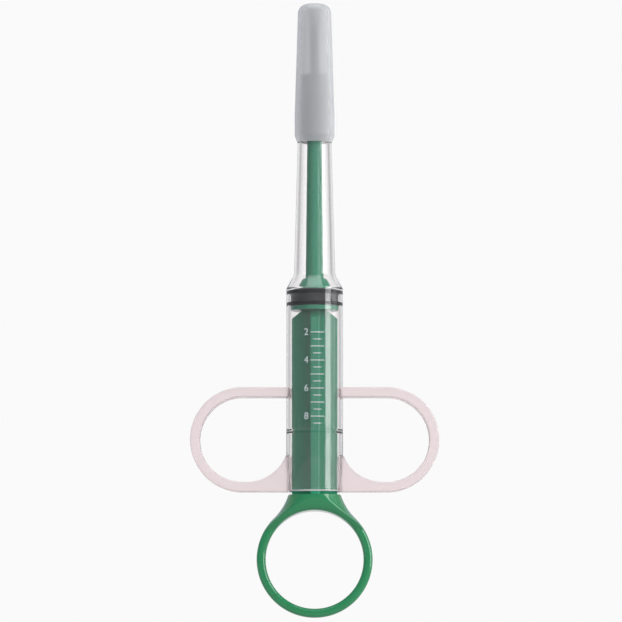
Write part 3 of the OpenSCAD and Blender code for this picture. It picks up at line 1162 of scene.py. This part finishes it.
@dataclass
class DoseScale(Assembly):
    """The printed dose scale: ticks made by Geometry Nodes, and plain numbers.

    Attributes:
        count: Number of ticks.
        step_ml: Volume between ticks, in millilitres.
        long_tick: Length of every second tick.
        short_tick: Length of the others.
        line: Thickness of a line.
        ink: Thickness of the ink.
        first_ml: Volume at the top tick.
        pitch: Height between ticks, for the barrel's bore.
        number_h: Height of a number.
        shift: Where the ticks' middle lies, along X.
        gap: Distance from a long tick to its number.
        radius: Radius of the barrel that it is printed on.
        top: Height of the top tick.
    """

    count: int = 14
    step_ml: float = 0.5
    long_tick: float = 4.6
    short_tick: float = 2.6
    line: float = 0.28
    ink: float = 0.03
    first_ml: int = 2
    number_h: float = 2.3
    shift: float = 0.9
    gap: float = 0.6
    pitch: float = field(init=False)
    radius: float = field(init=False)
    top: float = field(init=False)

    def __post_init__(self) -> None:
        """Finds the height of one step, from the bore that the seal fills, and where the scale starts."""
        seal = Span.of("piston_seal")
        self.pitch = self.step_ml * 1000 / (math.pi * seal.reach**2)
        self.radius = Span.of("barrel_tube").reach
        self.top = seal.bottom - self.first_ml / self.step_ml * self.pitch

    def wrap(self, x: float, lift: float) -> Flat:
        """Gives X and Y on the barrel's front, for a place along the flat print and a height above the surface."""
        r = self.radius + lift
        return r * math.sin(x / self.radius), -r * math.cos(x / self.radius)

    def tick_tree(self, ink: Material) -> NodeTree:
        """Builds the node tree that prints the ticks.

        Args:
            ink: Material of the ink.

        Returns:
            The tree.
        """
        tree = bpy.data.node_groups.new("dose_ticks", "GeometryNodeTree")
        tree.interface.new_socket("Geometry", in_out="OUTPUT", socket_type="NodeSocketGeometry")
        tree.interface.new_socket("Count", in_out="INPUT", socket_type="NodeSocketInt")
        for label in ("Pitch", "Long Tick", "Short Tick", "Line", "Ink", "Shift", "Radius", "Top"):
            tree.interface.new_socket(label, in_out="INPUT", socket_type="NodeSocketFloat")
        take = tree.nodes.new("NodeGroupInput").outputs

        def vector(x: object, y: object, z: object) -> NodeSocket:
            """Joins three numbers or sockets into a vector."""
            return add_node(tree, "ShaderNodeCombineXYZ", X=x, Y=y, Z=z).outputs[0]

        def calc(what: str, *values: object) -> NodeSocket:
            """Adds a Math node of the tree."""
            return add_math(tree, what, *values)

        row = add_node(
            tree, "GeometryNodeMeshLine", Count=take["Count"], Start_Location=vector(take["Shift"], 0.0, take["Top"]),
            Offset=vector(0.0, 0.0, calc("MULTIPLY", take["Pitch"], -1.0)),
        )
        bar = add_node(tree, "GeometryNodeMeshCube", Vertices_X=13, Size=vector(1.0, take["Ink"], take["Line"]))
        odd = calc("MODULO", tree.nodes.new("GeometryNodeInputIndex").outputs[0], 2.0)
        gap = calc("SUBTRACT", take["Short Tick"], take["Long Tick"])
        length = calc("ADD", calc("MULTIPLY", gap, odd), take["Long Tick"])
        put = add_node(
            tree, "GeometryNodeInstanceOnPoints", Points=row.outputs["Mesh"], Instance=bar.outputs["Mesh"],
            Scale=vector(length, 1.0, 1.0),
        )
        flat = add_node(tree, "GeometryNodeRealizeInstances", Geometry=put.outputs["Instances"])
        place = tree.nodes.new("GeometryNodeInputPosition").outputs[0]
        split = add_node(tree, "ShaderNodeSeparateXYZ", Vector=place).outputs
        angle = calc("DIVIDE", split["X"], take["Radius"])
        lift = calc("SUBTRACT", take["Radius"], split["Y"])
        across = calc("MULTIPLY", lift, calc("SINE", angle))
        front = calc("MULTIPLY", calc("MULTIPLY", lift, calc("COSINE", angle)), -1.0)
        scale = tree.nodes.new("ShaderNodeVectorMath")
        scale.operation = "SCALE"
        feed(tree, scale.inputs["Scale"], MM)
        feed(tree, scale.inputs[0], vector(across, front, split["Z"]))
        bent = add_node(
            tree, "GeometryNodeSetPosition", Geometry=flat.outputs["Geometry"], Position=scale.outputs["Vector"],
        )
        real = add_node(tree, "GeometryNodeRealizeInstances", Geometry=bent.outputs["Geometry"])
        paint = add_node(tree, "GeometryNodeSetMaterial", Geometry=real.outputs["Geometry"], Material=ink)
        add_node(tree, "NodeGroupOutput", Geometry=paint.outputs["Geometry"])
        return tree

    def ticks(self, ink: Material) -> Object:
        """Prints the ticks.

        Args:
            ink: Material of the ink.

        Returns:
            The ticks as one plain mesh.
        """
        maker = bpy.data.objects.new("tick_maker", bpy.data.meshes.new("tick_maker"))
        bpy.context.scene.collection.objects.link(maker)
        stamp = maker.modifiers.new("ticks", "NODES")
        stamp.node_group = self.tick_tree(ink)
        values = {
            "Count": self.count, "Pitch": self.pitch, "Long Tick": self.long_tick, "Short Tick": self.short_tick,
            "Line": self.line, "Ink": self.ink, "Shift": self.shift, "Top": self.top,
            "Radius": self.radius + self.ink / 2,
        }
        for item in stamp.node_group.interface.items_tree:
            if item.in_out == "INPUT":
                stamp[item.identifier] = values[item.name]
        graph = bpy.context.evaluated_depsgraph_get()
        mesh = bpy.data.meshes.new_from_object(maker.evaluated_get(graph))
        bpy.data.objects.remove(maker)
        mesh.name = "dose_ticks"
        piece = bpy.data.objects.new("dose_ticks", mesh)
        bpy.context.scene.collection.objects.link(piece)
        return piece

    def numbers(self, ink: Material) -> Object:
        """Prints the numbers beside the long ticks.

        Args:
            ink: Material of the ink.

        Returns:
            The numbers as one plain mesh.
        """
        points: list[Point] = []
        faces: list[tuple[int, ...]] = []
        for n in range(0, self.count, 4):
            words = bpy.data.curves.new("number", "FONT")
            words.body = str(self.first_ml + round(n * self.step_ml))
            words.size = self.number_h * 1.4
            words.align_x, words.align_y = "RIGHT", "CENTER"
            words.resolution_u = 6
            words.extrude = self.ink / 2
            holder = bpy.data.objects.new("number", words)
            flat = bpy.data.meshes.new_from_object(holder)
            start = len(points)
            left = self.shift - self.long_tick / 2 - self.gap
            for v in flat.vertices:
                x, y = self.wrap(v.co.x + left, v.co.z + self.ink / 2)
                points.append((x, y, v.co.y + self.top - n * self.pitch))
            faces.extend(tuple(i + start for i in p.vertices) for p in flat.polygons)
            bpy.data.objects.remove(holder)
        return make_piece("dose_numbers", (points, faces), ink, 30.0)

    def build(self) -> None:
        """Prints the scale on the barrel."""
        ink = self.paints.get(PALE_INK)
        self.fit(self.ticks(ink), Slot.CLEAR)
        self.fit(self.numbers(ink), Slot.CLEAR)


# ---------------------------------------------------------------- studio


@dataclass(frozen=True)
class SoftBox:
    """A soft box that faces the middle of the syringe.

    Attributes:
        name: Name of the light.
        place: Where it hangs, in metres.
        size: Width and height, in metres.
        radiance: Brightness of its face, where 1 is white paper.
        mirrored: True where glossy and clear surfaces show it.
        on_floor: True where it lights the floor too.
        tint: Colour of its light.
    """

    name: str
    place: Point
    size: Flat
    radiance: float
    mirrored: bool = False
    on_floor: bool = False
    tint: Colour = (1.0, 1.0, 1.0)

    def hang(self, target: Point, others: Collection) -> None:
        """Hangs the box.

        Args:
            target: Point that it faces.
            others: Stands for all but the floor.
        """
        data = bpy.data.lights.new(self.name, "AREA")
        data.shape = "RECTANGLE"
        data.size, data.size_y = self.size
        data.energy = self.radiance * math.pi * self.size[0] * self.size[1]
        data.color = self.tint
        light = bpy.data.objects.new(self.name, data)
        aim_at(light, self.place, target)
        light.visible_camera = False
        light.visible_glossy = light.visible_transmission = self.mirrored
        if not self.on_floor:
            light.light_linking.receiver_collection = others


def aim_at(thing: Object, place: Point, target: Point) -> None:
    """Puts a camera or a light in the scene and points it at something.

    Args:
        thing: The camera or light.
        place: Where it stands, in metres.
        target: Point that it faces.
    """
    thing.location = place
    thing.rotation_euler = (Vector(target) - Vector(place)).to_track_quat("-Z", "Y").to_euler()
    bpy.context.scene.collection.objects.link(thing)


COOL: Colour = (0.93, 0.98, 1.07)   # light from the room and from the left


@dataclass
class Studio:
    """The floor, the surroundings, the soft boxes and the camera.

    Attributes:
        camera_at: Where the camera stands, in metres.
        aim: Point that the camera looks at.
        lens: Focal length, for a 36 mm sensor.
        middle: Point that the soft boxes face.
        white: Linear brightness of the background.
        side: Brightness at the far sides, as seen through clear pieces.
        sides: Where the dimming towards the sides starts and ends, as a share of the way to +X or -X.
        ambient: Brightness of the room as it falls on dull surfaces.
        mirrored: Brightness of the room's near half in reflections.
        mirrored_far: Brightness of its far half in reflections.
        turn: Where the near half changes to the far half, along Y.
        floor_drop: How far the floor lies below the ring, which leaves room for the drawn plunger, in metres.
        floor_tone: Linear brightness of the floor's paint.
        floor_glow: Brightness of the floor's own glow, in reflections and on the syringe.
        floor_seen: The same as the camera sees it, which keeps the floor even from every side.
        boxes: The soft boxes.
    """

    camera_at: Point = (-0.0012, -1.4, -0.020)
    aim: Point = (-0.0012, 0.0, 0.1019)
    lens: float = 244.3
    middle: Point = (0.0, 0.0, 0.1)
    white: float = 0.955
    side: float = 0.46
    sides: Flat = (0.2, 0.75)
    ambient: float = 0.45
    mirrored: float = 0.36
    mirrored_far: float = 0.5
    turn: Flat = (-0.05, 0.6)
    floor_drop: float = 0.042
    floor_tone: float = 0.25
    floor_glow: float = 0.55
    floor_seen: float = 0.84
    boxes: tuple[SoftBox, ...] = (
        SoftBox("key_right", (0.60, -0.36, 0.12), (0.32, 0.95), 5.4, mirrored=True),
        SoftBox("card_right", (0.76, -0.02, 0.12), (0.32, 0.95), 1.3, mirrored=True),
        SoftBox("front_right", (0.42, -0.80, 0.30), (0.5, 0.6), 2.0),
        SoftBox("fill_left", (-0.75, -0.35, 0.15), (0.6, 0.9), 1.5, tint=COOL),
        SoftBox("back", (0.35, 0.95, 0.45), (0.8, 0.6), 1.6),
        SoftBox("top", (0.0, -0.25, 1.1), (0.9, 0.7), 1.6, mirrored=True, on_floor=True),
    )

    def camera(self) -> None:
        """Makes the camera and points it at the middle of the syringe."""
        data = bpy.data.cameras.new("camera")
        data.lens, data.sensor_width = self.lens, 36.0
        data.clip_start, data.clip_end = 0.05, 20.0
        camera = bpy.data.objects.new("camera", data)
        aim_at(camera, self.camera_at, self.aim)
        bpy.context.scene.camera = camera

    def surroundings(self) -> None:
        """Makes the white room: bright behind glass, dimmer at the sides, for soft grey edges."""
        world = bpy.data.worlds.new("studio")
        bpy.context.scene.world = world
        world.use_nodes = True
        tree = world.node_tree
        tree.nodes.clear()
        path = tree.nodes.new("ShaderNodeLightPath").outputs
        way = tree.nodes.new("ShaderNodeTexCoord").outputs["Generated"]
        way = add_node(tree, "ShaderNodeSeparateXYZ", Vector=way).outputs
        sideways = add_math(tree, "ABSOLUTE", way["X"])
        through = add_ramp(tree, sideways, (self.sides[0], self.white), (self.sides[1], self.side))
        glossy = add_ramp(tree, way["Y"], (self.turn[0], self.mirrored), (self.turn[1], self.mirrored_far))
        strength = add_mix(tree, path["Is Glossy Ray"], self.ambient, glossy)
        strength = add_mix(tree, path["Is Transmission Ray"], strength, through)
        strength = add_mix(tree, path["Is Camera Ray"], strength, self.white)
        colour = add_mix(tree, add_straight_rays(tree), (*COOL, 1.0), (1.0, 1.0, 1.0, 1.0), "RGBA")
        glow = add_node(tree, "ShaderNodeBackground", Color=colour, Strength=strength)
        add_node(tree, "ShaderNodeOutputWorld", Surface=glow.outputs[0])

    def floor(self) -> Collection:
        """Lays the pale floor.

        Returns:
            A collection that stands for all but the floor, for lights that pass it by.
        """
        bpy.ops.mesh.primitive_circle_add(
            vertices=96, radius=4.0, fill_type="NGON", location=(0.0, 0.0, -self.floor_drop),
        )
        floor = bpy.context.object
        floor.name = "floor"
        paint = bpy.data.materials.new("pale_floor")
        paint.use_nodes = True
        tree = paint.node_tree
        shader = tree.nodes["Principled BSDF"].inputs
        extra = self.floor_seen - self.floor_glow
        glow = add_math(tree, "MULTIPLY_ADD", add_straight_rays(tree), extra, self.floor_glow)
        feed(tree, shader["Base Color"], (self.floor_tone, self.floor_tone, self.floor_tone, 1.0))
        feed(tree, shader["Roughness"], 0.8)
        feed(tree, shader["Emission Color"], (1.0, 1.0, 1.0, 1.0))
        feed(tree, shader["Emission Strength"], glow)
        paint.cycles.emission_sampling = "NONE"
        floor.data.materials.append(paint)
        others = bpy.data.collections.new("all_but_floor")
        others.objects.link(floor)
        others.collection_objects[0].light_linking.link_state = "EXCLUDE"
        return others

    def build(self) -> None:
        """Sets up the whole studio."""
        scene = bpy.context.scene
        scene.view_settings.view_transform = "Standard"
        scene.cycles.caustics_reflective = False
        scene.cycles.caustics_refractive = False
        scene.cycles.max_bounces = scene.cycles.transmission_bounces = 24
        self.camera()
        self.surroundings()
        others = self.floor()
        for box in self.boxes:
            box.hang(self.middle, others)


def main() -> None:
    """Builds the studio and the syringe, in order."""
    logging.basicConfig(level=logging.INFO, format="%(message)s")
    Studio().build()
    paints = Paintbox()
    barrel = Barrel(paints)
    barrel.build()
    FingerLoops(paints).build()
    SoftTip(paints).build(barrel)
    for sub_assembly in (PistonSeal(paints), ThumbHandle(paints), PlungerShaft(paints), DoseScale(paints)):
        sub_assembly.build()


if __name__ == "__main__":
    main()
